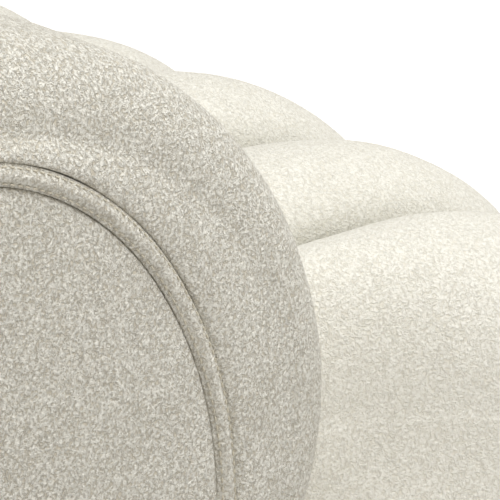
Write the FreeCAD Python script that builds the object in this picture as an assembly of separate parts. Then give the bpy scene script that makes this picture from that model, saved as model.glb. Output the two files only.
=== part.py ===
import FreeCAD, Part
import math
import os

# Channel seat sofa with rounded slab arms and a back of the same height.
# Millimetres. +X runs along the sofa, -Y is the front, +Z is up.
# The origin lies on the floor under the middle of the footprint.

Vec = FreeCAD.Vector

# Overall layout
channel_pitch = 160.0
inner_channels = 11
overall_depth = 960.0
overall_height = 650.0
leg_clearance = 120.0
seat_crest_height = 441.0
deck_height = 285.0

# Arms
arm_thickness = 150.0
arm_setback = 372.0
arm_front_reach = 310.0
arm_upper_height = 268.0
arm_toe_drop = 21.0
arm_bottom = 175.0
arm_roll = 50.0
arm_rear_radius = 65.0
arm_wall = 42.0

# Outside panels and their welts
panel_front_inset = 99.0
panel_top_inset = 58.0
panel_rear_inset = 62.0
panel_bottom_inset = 22.0
panel_corner_reach = 215.0
panel_corner_rise = 248.0
panel_small_radius = 38.0
recess_depth = 12.0
welt_width = 13.0
welt_raise = 2.5
welt_edge = 2.0
panel_edge = 5.0

# Seat channels
seam_depth = 40.0
waterfall_reach = 239.0
waterfall_drop = 178.0
bow_start = 600.0
bow_radius = 1400.0
end_roll_width = 95.0
end_roll_depth = 100.0
hem_radius = 24.0
seat_pad_thickness = 92.0
nose_back = 146.0
tail_length = 172.0

# Back channels
back_thickness = 150.0
back_seam_depth = 26.0
back_top_roll = 70.0
back_rear_roll = 46.0
back_top_pad = 50.0
back_rear_plate = 15.0

# Timber frame
front_rail_width = 40.0
back_rail_width = 60.0
side_rail_width = 90.0
post_thickness = 40.0
post_width = 70.0
post_count = 4
top_rail_height = 45.0
centre_rail_width = 45.0
centre_rail_height = 70.0
centre_rail_count = 3
corner_block_leg = 110.0
foot_block_length = 60.0
foot_block_width = 40.0
arm_board = 12.0
spacer_width = 60.0
spacer_height = 55.0

# Webbing and cloth
web_thickness = 2.0
web_width = 65.0
seat_web_count = 12
cross_web_count = 3
back_web_count = 3
dust_thickness = 0.8

# Feet and fixings
foot_top_radius = 27.0
foot_base_radius = 18.0
foot_inset_x = 70.0
foot_front_inset = 188.0
glide_thickness = 4.0
glide_chamfer = 1.2
plate_size = 64.0
plate_thickness = 3.0
plate_corner = 8.0
screw_radius = 2.2
screw_head_radius = 4.6
screw_head_height = 2.4
screw_length = 22.0
screw_spacing = 48.0
dowel_radius = 4.0
dowel_depth = 28.0
dowel_rise = 14.0
bolt_radius = 4.0
bolt_head_radius = 8.5
bolt_head_height = 4.5

# Clearances
cloth_gap = 0.5
fit_gap = 0.3

# Derived places
inner_half = inner_channels * channel_pitch / 2
arm_inner = inner_half + cloth_gap
arm_outer = arm_inner + arm_thickness
end_outer = inner_half + channel_pitch
front_y = -overall_depth / 2
rear_y = overall_depth / 2 - welt_raise
arm_front = front_y + arm_setback
foot_front_y = front_y + foot_front_inset
arm_nose_z = overall_height - arm_upper_height
arm_lower_height = arm_nose_z - arm_bottom + arm_toe_drop
nose_inner_y = front_y + nose_back
front_rail_y = nose_inner_y + fit_gap
back_rail_y = rear_y - back_rear_plate - back_rail_width
post_y = rear_y - back_rear_plate - post_thickness
back_face_y = rear_y - back_thickness
seat_pad_bottom = seat_crest_height - seat_pad_thickness
rail_bottom = leg_clearance
deck_top = deck_height + web_thickness
side_rail_outer = arm_outer - arm_wall + arm_board
side_rail_inner = side_rail_outer - side_rail_width
post_top = overall_height - back_top_pad - fit_gap


def point(x, y, z):
    return Vec(x, y, z)


def box(x0, x1, y0, y1, z0, z1):
    return Part.makeBox(x1 - x0, y1 - y0, z1 - z0, Vec(x0, y0, z0))


def mirrored(shape):
    return shape.mirror(Vec(0, 0, 0), Vec(1, 0, 0))


def group(shapes):
    return Part.Compound(list(shapes))


def both_sides(shape):
    return group([shape, mirrored(shape)])


def line(a, b):
    return Part.makeLine(a, b)


def corner_arc(x, centre_y, centre_z, reach, rise, start, end):
    """Elliptic arc in a plane of constant x: 0 points to the front, 90 degrees up."""
    if reach >= abs(rise):
        ellipse = Part.Ellipse(point(x, centre_y - reach, centre_z), point(x, centre_y, centre_z + rise),
                               point(x, centre_y, centre_z))
        return Part.ArcOfEllipse(ellipse, start, end).toShape()
    ellipse = Part.Ellipse(point(x, centre_y, centre_z + rise), point(x, centre_y + reach, centre_z),
                           point(x, centre_y, centre_z))
    quarter = math.pi / 2
    return Part.ArcOfEllipse(ellipse, start - quarter, end - quarter).toShape()


def through(points):
    """Closed wire of straight edges."""
    return Part.makePolygon(list(points) + [points[0]])


def slab(wire, x0, x1):
    """Solid of a side outline drawn at x0 and drawn out to x1."""
    return Part.Face(wire).extrude(Vec(x1 - x0, 0, 0))


def arm_outline(x, inset=0.0, bottom=arm_bottom):
    """Bullnose side outline: flat top, elliptic nose, square heel with a rounded top corner."""
    reach = arm_front_reach - inset
    rise = arm_upper_height - inset
    fall = arm_lower_height
    centre_y = arm_front + arm_front_reach
    rear = rear_y - inset
    radius = arm_rear_radius - inset
    top = overall_height - inset
    low = math.asin((arm_nose_z - bottom) / fall)
    upper = corner_arc(x, centre_y, arm_nose_z, reach, rise, 0, math.pi / 2)
    lower = corner_arc(x, centre_y, arm_nose_z, reach, -fall, 0, low)
    toe = point(x, centre_y - reach * math.cos(low), bottom)
    heel = point(x, rear, bottom)
    edges = [upper, line(point(x, centre_y, top), point(x, rear - radius, top))]
    edges.append(Part.Arc(point(x, rear - radius, top),
                          point(x, rear - radius * (1 - math.sqrt(0.5)), top - radius * (1 - math.sqrt(0.5))),
                          point(x, rear, top - radius)).toShape())
    edges.append(line(point(x, rear, top - radius), heel))
    edges.append(line(heel, toe))
    edges.append(lower)
    return Part.Wire(Part.__sortEdges__(edges))


def rounded_end(x, rear, top, bottom, radius):
    """The three straight runs and two arcs that close a panel outline at its rear."""
    half = radius * (1 - math.sqrt(0.5))
    upper = Part.Arc(point(x, rear - radius, top), point(x, rear - half, top - half), point(x, rear, top - radius))
    lower = Part.Arc(point(x, rear, bottom + radius), point(x, rear - half, bottom + half),
                     point(x, rear - radius, bottom))
    return [upper.toShape(), line(point(x, rear, top - radius), point(x, rear, bottom + radius)), lower.toShape()]


def arm_panel_outline(x, inset):
    """Outline of the outside panel, inset from the outer edge of its welt."""
    top = overall_height - panel_top_inset - inset
    bottom = arm_bottom + panel_bottom_inset + inset
    tip_y = arm_front + panel_front_inset + inset
    tip_z = overall_height - panel_top_inset - panel_corner_rise
    rear = rear_y - panel_rear_inset - inset
    radius = panel_small_radius - inset
    reach = panel_corner_reach - inset
    corner_y = tip_y + reach
    edges = [corner_arc(x, corner_y, tip_z, reach, top - tip_z, 0, math.pi / 2)]
    edges.append(corner_arc(x, corner_y, tip_z, reach, bottom - tip_z, 0, math.pi / 2))
    edges.append(line(point(x, corner_y, top), point(x, rear - radius, top)))
    edges.append(line(point(x, corner_y, bottom), point(x, rear - radius, bottom)))
    edges += rounded_end(x, rear, top, bottom, radius)
    return Part.Wire(Part.__sortEdges__(edges))


def back_panel_outline(y, inset):
    """Rounded rectangle of the outside back panel, inset from the outer edge of its welt."""
    half = inner_half - panel_rear_inset / 2 - inset
    top = overall_height - panel_top_inset - back_rear_roll / 2 - inset
    bottom = arm_bottom + panel_bottom_inset + inset
    plate = Part.makeBox(2 * half, 1, top - bottom, Vec(-half, y, bottom))
    radius = panel_small_radius - inset
    edges = [e for e in plate.Edges if e.BoundBox.YLength > 0.5]
    face = min(plate.makeFillet(radius, edges).Faces, key=lambda f: f.CenterOfMass.y)
    return face.OuterWire


def softened(solid, radius, keep):
    """Solid with the edges picked by keep rounded."""
    return solid.makeFillet(radius, [e for e in solid.Edges if keep(e.BoundBox)])


# Arms
def arm_pocket(inset):
    """Hollow for the arm frame, open at the bottom."""
    x0 = -arm_outer + inset
    x1 = -arm_inner - inset
    return slab(arm_outline(x0, inset), x0, x1)


def arm_recess():
    """Bed of the outside panel and its welt."""
    x0 = -arm_outer - welt_raise
    return slab(arm_panel_outline(x0, 0.0), x0, -arm_outer + recess_depth)


def roll_inset(share):
    """Inset of the arm's outline across its rolled edge, in a quarter round."""
    return arm_roll * (1 - math.sqrt(1 - (1 - share) ** 2))


def arm_cover():
    middle = -(arm_outer + arm_inner) / 2
    shares = (0.0, 0.04, 0.15, 0.35, 0.65, 1.0)
    near = [(-arm_outer + s * arm_roll, roll_inset(s)) for s in shares]
    far = [(2 * middle - x, inset) for x, inset in reversed(near)]
    body = Part.makeLoft([arm_outline(x, inset) for x, inset in near + [(middle, 0.0)] + far], True, False)
    body = body.cut(arm_pocket(arm_wall))
    return body.cut(arm_recess())


def arm_welt():
    x0 = -arm_outer - welt_raise
    x1 = -arm_outer + recess_depth - fit_gap
    ring = slab(arm_panel_outline(x0, fit_gap), x0, x1)
    ring = ring.cut(slab(arm_panel_outline(x0, welt_width), x0, x1))
    return softened(ring, welt_edge, lambda b: abs(b.XMax - x0) < 1e-3)


def arm_panel():
    x0 = -arm_outer
    x1 = -arm_outer + recess_depth - fit_gap
    pad = slab(arm_panel_outline(x0, welt_width + fit_gap), x0, x1)
    return softened(pad, panel_edge, lambda b: abs(b.XMax - x0) < 1e-3)


def arm_boards():
    """Two bullnose boards of the arm frame, standing on the side rail."""
    inset = arm_wall + fit_gap
    outer = -arm_outer + inset
    inner = -arm_inner - inset
    boards = []
    for x0, x1 in ((outer, outer + arm_board), (inner - arm_board, inner)):
        boards.append(slab(arm_outline(x0, inset), x0, x1))
    return group(boards)


def spacer_places():
    first = arm_front + arm_front_reach
    last = rear_y - arm_wall - fit_gap - spacer_width
    return [(first, arm_bottom), ((first + last) / 2, arm_bottom), (last, arm_bottom),
            (first, overall_height - arm_wall - fit_gap - spacer_height),
            (last, overall_height - arm_rear_radius - spacer_height - arm_wall)]


def arm_spacers():
    inset = arm_wall + fit_gap + arm_board
    x0 = -arm_outer + inset
    x1 = -arm_inner - inset
    blocks = [box(x0, x1, y, y + spacer_width, z, z + spacer_height) for y, z in spacer_places()]
    return group(blocks).cut(arm_bolts())


def arm_bolt_places():
    x = -(arm_outer + arm_inner) / 2
    return [(x, y + spacer_width / 2) for y, z in spacer_places()[:3]]


def arm_bolts():
    """Bolts from under the side rail up into the spacer blocks."""
    bolts = []
    for x, y in arm_bolt_places():
        shank = Part.makeCylinder(bolt_radius, arm_bottom - rail_bottom + spacer_height / 2 - bolt_head_height,
                                  point(x, y, rail_bottom + bolt_head_height))
        head = Part.makeCylinder(bolt_head_radius, bolt_head_height, point(x, y, rail_bottom))
        bolts.append(head.fuse(shank).removeSplitter())
    return group(bolts)


# Seat
def front_at(x):
    """Front line in plan: straight, then bowed back towards the ends."""
    past = max(abs(x) - bow_start, 0.0)
    return front_y + bow_radius - math.sqrt(bow_radius ** 2 - past ** 2)


def seat_outline(x, inset, whole):
    """Side outline of a seat channel: level top, waterfall front, hem tucked under.

    A whole outline fills the end of the seat; the others leave room for the rail and the foam.
    """
    nose = front_at(x) + inset
    top = seat_crest_height - inset
    reach = waterfall_reach - inset
    drop = waterfall_drop - inset
    centre_y = nose + reach
    centre_z = top - drop
    rear = arm_front + tail_length if whole else back_face_y - cloth_gap
    hem = hem_radius
    edges = [corner_arc(x, centre_y, centre_z, reach, drop, 0, math.pi / 2)]
    edges.append(line(point(x, centre_y, top), point(x, rear, top)))
    if whole:
        corners = [point(x, rear, top), point(x, rear, rail_bottom)]
    else:
        corners = [point(x, rear, top), point(x, rear, seat_pad_bottom), point(x, nose_inner_y, seat_pad_bottom),
                   point(x, nose_inner_y, rail_bottom)]
    corners.append(point(x, nose + hem, rail_bottom))
    edges += [line(a, b) for a, b in zip(corners, corners[1:])]
    half = hem * (1 - math.sqrt(0.5))
    edges.append(Part.Arc(point(x, nose + hem, rail_bottom), point(x, nose + half, rail_bottom + half),
                          point(x, nose, rail_bottom + hem)).toShape())
    edges.append(line(point(x, nose, rail_bottom + hem), point(x, nose, centre_z)))
    return Part.Wire(Part.__sortEdges__(edges))


def crown(share, depth):
    """Inset of a channel's outline across its width: none on the crest, full at the seams."""
    return depth * share ** 2


def seat_channel(index):
    """One channel between two seams, counted from the sofa's middle."""
    middle = index * channel_pitch
    wires = []
    for share in (-1.0, -0.5, 0.0, 0.5, 1.0):
        wires.append(seat_outline(middle + share * channel_pitch / 2, crown(share, seam_depth), False))
    return Part.makeLoft(wires, True, False)


def seat_channels():
    half = (inner_channels - 1) // 2
    return group([seat_channel(i) for i in range(-half, half + 1)])


def end_inset(across):
    """Inset of the end channel, measured across from its outer side: a deep roll, then the crown."""
    if across < end_roll_width:
        share = (end_roll_width - across) / end_roll_width
        return end_roll_depth * (1 - math.sqrt(1 - share ** 2))
    return crown((across - end_roll_width) / (channel_pitch - end_roll_width), seam_depth)


def seat_end():
    """End channel that turns in front of the arm and is notched round the arm's nose."""
    shares = (0.0, 0.03, 0.1, 0.24, 0.42, 0.6, 0.8, 1.0)
    wires = [seat_outline(-end_outer + s * channel_pitch, end_inset(s * channel_pitch), True) for s in shares]
    body = Part.makeLoft(wires, True, False)
    grown = slab(arm_outline(-end_outer - 1, -cloth_gap, arm_bottom - cloth_gap), -end_outer - 1, -inner_half + 1)
    body = body.cut(grown)
    for rail in (front_rail_space(), side_rail_space()):
        body = body.cut(rail)
    return body


# Back
def back_outline(x, inset):
    """Side outline of a back channel: padding in front of and over the back frame."""
    face = back_face_y + inset
    top = overall_height - inset
    roll = back_top_roll
    rear_roll = back_rear_roll
    half = roll * (1 - math.sqrt(0.5))
    rear_half = rear_roll * (1 - math.sqrt(0.5))
    inside = post_y - web_thickness - fit_gap
    under = overall_height - back_top_pad
    lip = under - fit_gap
    edges = [Part.Arc(point(x, face, top - roll), point(x, face + half, top - half),
                      point(x, face + roll, top)).toShape()]
    edges.append(line(point(x, face + roll, top), point(x, rear_y - rear_roll, top)))
    edges.append(Part.Arc(point(x, rear_y - rear_roll, top), point(x, rear_y - rear_half, top - rear_half),
                          point(x, rear_y, top - rear_roll)).toShape())
    corners = [point(x, rear_y, top - rear_roll), point(x, rear_y, lip - back_seam_depth),
               point(x, rear_y - back_rear_plate, lip - back_seam_depth), point(x, rear_y - back_rear_plate, under),
               point(x, inside, under), point(x, inside, deck_top + fit_gap), point(x, face, deck_top + fit_gap),
               point(x, face, top - roll)]
    edges += [line(a, b) for a, b in zip(corners, corners[1:])]
    return Part.Wire(Part.__sortEdges__(edges))


def back_channel(index):
    middle = index * channel_pitch
    wires = []
    for share in (-1.0, -0.5, 0.0, 0.5, 1.0):
        wires.append(back_outline(middle + share * channel_pitch / 2, crown(share, back_seam_depth)))
    return Part.makeLoft(wires, True, False)


def back_channels():
    half = (inner_channels - 1) // 2
    return group([back_channel(i) for i in range(-half, half + 1)])


def back_plate_bounds():
    top = overall_height - back_top_pad - 2 * fit_gap - back_seam_depth
    return (-inner_half, inner_half, rear_y - back_rear_plate + fit_gap, rear_y, arm_bottom, top)


def back_outside_cover():
    x0, x1, y0, y1, z0, z1 = back_plate_bounds()
    plate = box(x0, x1, y0, y1, z0, z1)
    recess = Part.Face(back_panel_outline(rear_y, 0.0)).extrude(Vec(0, -recess_depth, 0))
    return plate.cut(recess)


def back_welt():
    y0 = rear_y + welt_raise
    deep = recess_depth - fit_gap + welt_raise
    ring = Part.Face(back_panel_outline(y0, fit_gap)).extrude(Vec(0, -deep, 0))
    ring = ring.cut(Part.Face(back_panel_outline(y0, welt_width)).extrude(Vec(0, -deep, 0)))
    return softened(ring, welt_edge, lambda b: abs(b.YMin - y0) < 1e-3)


def back_panel():
    deep = recess_depth - fit_gap
    pad = Part.Face(back_panel_outline(rear_y, welt_width + fit_gap)).extrude(Vec(0, -deep, 0))
    return softened(pad, panel_edge, lambda b: abs(b.YMin - rear_y) < 1e-3)


# Base frame
def front_rail():
    rail = box(-side_rail_outer, side_rail_outer, front_rail_y, front_rail_y + front_rail_width, rail_bottom,
               deck_height)
    return rail


def front_rail_space():
    return box(-side_rail_outer - fit_gap, -inner_half + 1, front_rail_y - fit_gap,
               front_rail_y + front_rail_width + fit_gap, rail_bottom - 1, deck_height + fit_gap)


def side_rail_bounds():
    return (-side_rail_outer, -side_rail_inner, front_rail_y + front_rail_width, rear_y - back_rear_plate,
            rail_bottom, arm_bottom)


def side_rail():
    x0, x1, y0, y1, z0, z1 = side_rail_bounds()
    rail = box(x0, x1, y0, y1, z0, z1)
    return rail.cut(arm_bolts())


def side_rail_space():
    x0, x1, y0, y1, z0, z1 = side_rail_bounds()
    return box(x0 - fit_gap, -inner_half + 1, y0 - 1, y1, z0 - 1, z1 + fit_gap)


def back_rail():
    y1 = back_rail_y + back_rail_width
    upright = box(-inner_half, inner_half, back_rail_y, y1, rail_bottom, deck_height)
    tongue = box(-side_rail_inner, side_rail_inner, back_rail_y, y1, rail_bottom, arm_bottom)
    return upright.fuse(tongue).removeSplitter()


def centre_rail_x():
    step = 2 * side_rail_inner / (centre_rail_count + 1)
    return [-side_rail_inner + step * (i + 1) for i in range(centre_rail_count)]


def centre_rails():
    half = centre_rail_width / 2
    rails = [box(x - half, x + half, front_rail_y + front_rail_width, back_rail_y, rail_bottom,
                 rail_bottom + centre_rail_height) for x in centre_rail_x()]
    return group(rails)


def corner_block(y, toward):
    """Triangular glue block in a corner between a side rail and a cross rail."""
    x = -side_rail_inner
    outline = through([point(x, y, rail_bottom), point(x + corner_block_leg, y, rail_bottom),
                       point(x, y + toward * corner_block_leg, rail_bottom)])
    return Part.Face(outline).extrude(Vec(0, 0, arm_bottom - rail_bottom))


def corner_blocks():
    blocks = [corner_block(front_rail_y + front_rail_width, 1), corner_block(back_rail_y, -1)]
    return group(blocks + [mirrored(b) for b in blocks])


# Back frame
def post_x():
    span = 2 * (inner_half - post_width)
    return [-inner_half + post_width / 2 + i * span / (post_count - 1) + i * post_width / (post_count - 1)
            for i in range(post_count)]


def back_posts():
    half = post_width / 2
    posts = []
    for x in post_x():
        x0 = max(x - half, -inner_half + fit_gap)
        x1 = min(x + half, inner_half - fit_gap)
        posts.append(box(x0, x1, post_y, post_y + post_thickness, deck_height, post_top - top_rail_height))
    return group(posts)


def back_top_rail():
    return box(-inner_half + fit_gap, inner_half - fit_gap, post_y, post_y + post_thickness,
               post_top - top_rail_height, post_top)


def back_webbing():
    """Level straps across the front of the posts."""
    gap = (post_top - deck_height) / (back_web_count + 1)
    straps = []
    for i in range(back_web_count):
        z = deck_height + gap * (i + 1) - web_width / 2
        straps.append(box(-inner_half + fit_gap, inner_half - fit_gap, post_y - web_thickness, post_y, z,
                          z + web_width))
    return group(straps)


# Seat support
def seat_webbing():
    """Straps from the front rail to the back rail."""
    step = 2 * inner_half / seat_web_count
    half = web_width / 2
    straps = []
    for i in range(seat_web_count):
        x = -inner_half + step * (i + 0.5)
        straps.append(box(x - half, x + half, front_rail_y, post_y - fit_gap, deck_height, deck_top))
    return group(straps)


def cross_webbing():
    """Straps along the sofa under the first layer, from arm to arm."""
    y0 = front_rail_y + front_rail_width
    step = (back_rail_y - y0) / (cross_web_count + 1)
    half = web_width / 2
    straps = []
    for i in range(cross_web_count):
        y = y0 + step * (i + 1)
        straps.append(box(-inner_half, inner_half, y - half, y + half, deck_height - web_thickness, deck_height))
    return group(straps)


def seat_foam():
    return box(-inner_half, inner_half, nose_inner_y, back_face_y - cloth_gap, deck_top, seat_pad_bottom)


# Underside
def dust_cover():
    z0 = rail_bottom - dust_thickness
    sheet = box(-side_rail_outer, side_rail_outer, front_rail_y, rear_y - back_rear_plate, z0, rail_bottom)
    return sheet.cut(foot_screws()).cut(foot_dowels())


def base_border():
    """Padded band round the sides and the rear, under the arms and the back."""
    y0 = arm_front + tail_length + cloth_gap
    outer = box(-arm_outer, arm_outer, y0, rear_y, rail_bottom, arm_bottom - cloth_gap)
    upright = [e for e in outer.Edges if e.BoundBox.ZLength > 1 and e.BoundBox.YMin > rear_y - 1]
    outer = outer.makeFillet(arm_roll, upright)
    inner = box(-side_rail_outer - fit_gap, side_rail_outer + fit_gap, y0 - 1, rear_y - back_rear_plate + fit_gap,
                rail_bottom - 1, arm_bottom)
    return outer.cut(inner)


def foot_places():
    outer = side_rail_outer - foot_inset_x + plate_size / 2
    rear = rear_y - back_rear_plate - plate_size / 2 - plate_corner
    return [(x, y) for x in (-outer, 0.0, outer) for y in (foot_front_y, rear)]


def plate_bottom():
    return rail_bottom - dust_thickness - plate_thickness


def feet():
    legs = []
    for x, y in foot_places():
        leg = Part.makeCone(foot_base_radius, foot_top_radius, plate_bottom() - glide_thickness,
                            point(x, y, glide_thickness))
        legs.append(leg)
    return group(legs).cut(foot_dowels())


def foot_glides():
    pads = []
    for x, y in foot_places():
        radius = foot_base_radius
        pad = Part.makeCone(radius - glide_chamfer, radius, glide_chamfer, point(x, y, 0))
        disc = Part.makeCylinder(radius, glide_thickness - glide_chamfer, point(x, y, glide_chamfer))
        pads.append(pad.fuse(disc))
    return group(pads)


def foot_plates():
    plates = []
    half = plate_size / 2
    for x, y in foot_places():
        plate = box(x - half, x + half, y - half, y + half, plate_bottom(), plate_bottom() + plate_thickness)
        plate = softened(plate, plate_corner, lambda b: b.ZLength > 1)
        plates.append(plate)
    return group(plates).cut(foot_screws()).cut(foot_dowels())


def screw_places():
    half = screw_spacing / 2
    return [(x + i * half, y + j * half) for x, y in foot_places() for i in (-1, 1) for j in (-1, 1)]


def foot_screws():
    screws = []
    for x, y in screw_places():
        head = Part.makeCone(screw_head_radius / 2, screw_head_radius, screw_head_height,
                             point(x, y, plate_bottom() - screw_head_height))
        shank = Part.makeCylinder(screw_radius, screw_length, point(x, y, plate_bottom()))
        screws.append(head.fuse(shank))
    return group(screws)


def foot_dowels():
    """Threaded studs that join each foot to its plate and rail."""
    studs = []
    for x, y in foot_places():
        studs.append(Part.makeCylinder(dowel_radius, dowel_depth + plate_thickness + dust_thickness + dowel_rise,
                                       point(x, y, plate_bottom() - dowel_depth)))
    return group(studs)


def foot_blocks():
    """Blocks beside the middle rail that back the plates of the middle feet."""
    x0 = centre_rail_width / 2
    front = front_rail_y + front_rail_width
    blocks = []
    for y0, y1 in ((front, front + foot_block_length), (back_rail_y - foot_block_length, back_rail_y)):
        block = box(x0, x0 + foot_block_width, y0, y1, rail_bottom, arm_bottom)
        blocks += [block, mirrored(block)]
    return group(blocks)


def bored(shape):
    """Shape with the holes of the foot screws and studs."""
    return shape.cut(foot_screws()).cut(foot_dowels())


def save(name, shape):
    shape.exportStep("parts/" + name + ".step")


def main():
    os.makedirs("parts", exist_ok=True)
    left = {"arm_cover": arm_cover(), "arm_outside_panel": arm_panel(), "arm_welt": arm_welt(),
            "arm_boards": arm_boards(), "arm_spacers": arm_spacers(), "seat_end": seat_end(),
            "side_rail": bored(side_rail())}
    for name, shape in left.items():
        save("left_" + name, shape)
        save("right_" + name, mirrored(shape))
    save("seat_channels", seat_channels())
    save("seat_foam", seat_foam())
    save("seat_webbing", seat_webbing())
    save("cross_webbing", cross_webbing())
    save("back_channels", back_channels())
    save("back_outside_cover", back_outside_cover())
    save("back_outside_panel", back_panel())
    save("back_welt", back_welt())
    save("back_posts", back_posts())
    save("back_top_rail", back_top_rail())
    save("back_webbing", back_webbing())
    save("front_rail", bored(front_rail()))
    save("back_rail", bored(back_rail()))
    save("centre_rails", bored(centre_rails()))
    save("corner_blocks", bored(corner_blocks()))
    save("foot_blocks", bored(foot_blocks()))
    save("base_border", base_border())
    save("arm_bolts", both_sides(arm_bolts()))
    save("dust_cover", dust_cover())
    save("feet", feet())
    save("foot_glides", foot_glides())
    save("foot_plates", foot_plates())
    save("foot_screws", foot_screws())
    save("foot_studs", foot_dowels())


main()
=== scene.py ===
import bpy
import bmesh
import math
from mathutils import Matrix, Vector, noise


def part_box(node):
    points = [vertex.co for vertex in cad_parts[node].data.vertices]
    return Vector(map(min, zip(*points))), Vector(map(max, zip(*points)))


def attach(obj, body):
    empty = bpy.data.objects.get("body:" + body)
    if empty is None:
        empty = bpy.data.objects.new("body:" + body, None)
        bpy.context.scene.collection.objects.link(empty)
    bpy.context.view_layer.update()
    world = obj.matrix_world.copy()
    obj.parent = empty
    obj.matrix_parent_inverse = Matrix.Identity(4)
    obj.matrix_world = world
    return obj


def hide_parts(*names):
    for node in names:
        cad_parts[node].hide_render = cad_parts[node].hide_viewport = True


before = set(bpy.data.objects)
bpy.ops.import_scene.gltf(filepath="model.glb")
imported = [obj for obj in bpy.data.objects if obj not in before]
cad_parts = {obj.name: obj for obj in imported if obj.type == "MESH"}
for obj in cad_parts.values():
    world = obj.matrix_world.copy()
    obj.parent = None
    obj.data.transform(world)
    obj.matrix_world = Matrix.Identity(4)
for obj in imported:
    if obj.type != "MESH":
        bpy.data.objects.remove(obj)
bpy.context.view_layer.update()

# Clearances, in metres like every size below
CLOTH_GAP = 0.0005
FIT_GAP = 0.0003
SEAM_GAP = 0.0002

# Sizes of the sofa, read from the frame's own pieces
arm_low, arm_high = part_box("left_arm_cover")
end_low, end_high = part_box("left_seat_end")
seat_low, seat_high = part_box("seat_channels")
back_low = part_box("back_channels")[0]
INNER_CHANNELS = 11
ARM_OUTER = -arm_low[0]
ARM_INNER = -arm_high[0]
TOP = arm_high[2]
ARM_FOOT = arm_low[2]
ARM_FRONT = arm_low[1]
REAR = arm_high[1]
END_OUTER = -end_low[0]
TAIL = end_high[1]
INNER_HALF = seat_high[0]
PITCH = 2 * INNER_HALF / INNER_CHANNELS
SEAT_FRONT = seat_low[1]
SEAT_REAR = seat_high[1]
SEAT_CREST = seat_high[2]
HEM_Z = seat_low[2]
NOSE_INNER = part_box("front_rail")[0][1] - CLOTH_GAP
PAD_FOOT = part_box("seat_foam")[1][2] + FIT_GAP
BACK_FACE = back_low[1]
BACK_FOOT = back_low[2]
BACK_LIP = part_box("back_outside_cover")[1][2]
POST_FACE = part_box("back_webbing")[0][1] - FIT_GAP
POST_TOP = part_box("back_top_rail")[1][2] + FIT_GAP
BORDER_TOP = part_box("base_border")[1][2]

# Arm outline, and the points on each stretch of it
NOSE_REACH = 0.310
NOSE_RISE = 0.268
NOSE_FALL = 0.228
NOSE_GIVE = 0.002
NOSE_Z = TOP - NOSE_RISE
ARM_ROLL = 0.050
ARM_HEEL = 0.065
NOSE_LOW_STEPS = 26
NOSE_HIGH_STEPS = 40
TOP_STEPS = 22
HEEL_STEPS = 12
REAR_STEPS = 36
FOOT_STEPS = 30
ROLL_STEPS = 16
INNER_RINGS = 14
INNER_TIP = 0.3

# Outside panel and welt
PANEL_FRONT = 0.099
PANEL_TOP = 0.058
PANEL_REAR = 0.062
PANEL_FOOT = 0.022
PANEL_REACH = 0.215
PANEL_RISE = 0.248
PANEL_HEEL = 0.038
PANEL_HEEL_LEAST = 0.008
PANEL_HEEL_STEPS = 10
WELT_WIDTH = 0.013
RECESS = 0.0115

# Points on each stretch of the outside back panel's outline
CORNER_STEPS = 8
UPRIGHT_STEPS = 14
LENGTH_STEPS = 60

# Across the welt: share of its width, height over the face, and how far a stitch pulls it down
WELT_SECTION = (
    (0.0, -0.0100, 0.0), (0.0, -0.0020, 0.0), (0.03, -0.0015, 0.0003), (0.10, -0.0008, 0.0010),
    (0.20, 0.0005, 0.0008), (0.33, 0.0016, 0.0003), (0.50, 0.0020, 0.0), (0.67, 0.0016, 0.0003),
    (0.80, 0.0005, 0.0008), (0.90, -0.0008, 0.0010), (0.97, -0.0015, 0.0003), (1.0, -0.0020, 0.0),
    (1.0, -0.0100, 0.0))

# Seams: depth of the cloth's edge in a seam, and how soon the cloth rises out of it
SEAM_TUCK = 0.0019
COVER_SEAM_WALL = 0.003
PANEL_SEAM_WALL = 0.004
BOXING_TUCK_RUN = 0.06
PANEL_TUCK_RUN = 0.025
PLATE_TUCK_RUN = 0.08
BACK_TUCK_RUN = 0.006

# Stuffing of the covers: fullness, fall of the boxing, and where the rings of the skin lie
BOXING_FALL = 0.009
BOXING_SHARES = (0.02, 0.05, 0.10, 0.18, 0.3, 0.45, 0.6, 0.75, 0.9)
PANEL_PUFF = 0.009
PUFF_POWER = 2.2
PANEL_PUFF_RUN = 0.75
PANEL_SHARES = (0.006, 0.014, 0.03, 0.055, 0.09, 0.14, 0.2, 0.28, 0.38, 0.5, 0.62, 0.74, 0.86, 0.95)
BACK_PUFF_RUN = 0.16
BACK_INSETS = (0.0015, 0.004, 0.009, 0.018, 0.032, 0.05, 0.075, 0.105, 0.14, 0.16)
PLATE_DEPTH = 0.0147
PLATE_PUFF = 0.002
PLATE_PUFF_POWER = 0.7
PLATE_WRAP = 0.013
PLATE_CORNER = 0.010
PLATE_RIM = 0.004
PLATE_RIM_SIDE = 0.006
PLATE_SHARES = (0.04, 0.12, 0.3, 0.5, 0.7, 0.9, 1.0)
BORDER_PUFF = 0.0015

# Border's rounded edge: depth behind its face, and distance from the edge
BORDER_EDGE = ((0.0285, 0.0), (0.010, 0.0), (0.004, 0.002), (0.001, 0.006))
BORDER_SIDE_STEPS = 20
BORDER_CORNER_STEPS = 12
BORDER_REAR_STEPS = 60
BORDER_FACE_STEPS = 8

# Seat channels
SEAM_DEPTH = 0.040
CREASE_DEPTH = 0.024
CREASE_POWER = 14
FALL_REACH = 0.239
FALL_DROP = 0.178
BOW_START = 0.600
BOW_RADIUS = 1.400
HEM_RADIUS = 0.024
END_ROLL = 0.095
END_DEPTH = 0.100
END_TOE = 0.004

# Points on each stretch of the seat's outlines, and rings across its channels
HEM_STEPS = 6
FRONT_STEPS = 10
FALL_STEPS = 34
SEAT_STEPS = (34, 2, 6, 3, 2)
NOTCH_STEPS = 26
END_STEPS = (3, 12)
CROWN_STEPS = 20
END_ROLL_STEPS = 18
END_CROWN_STEPS = 12

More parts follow.
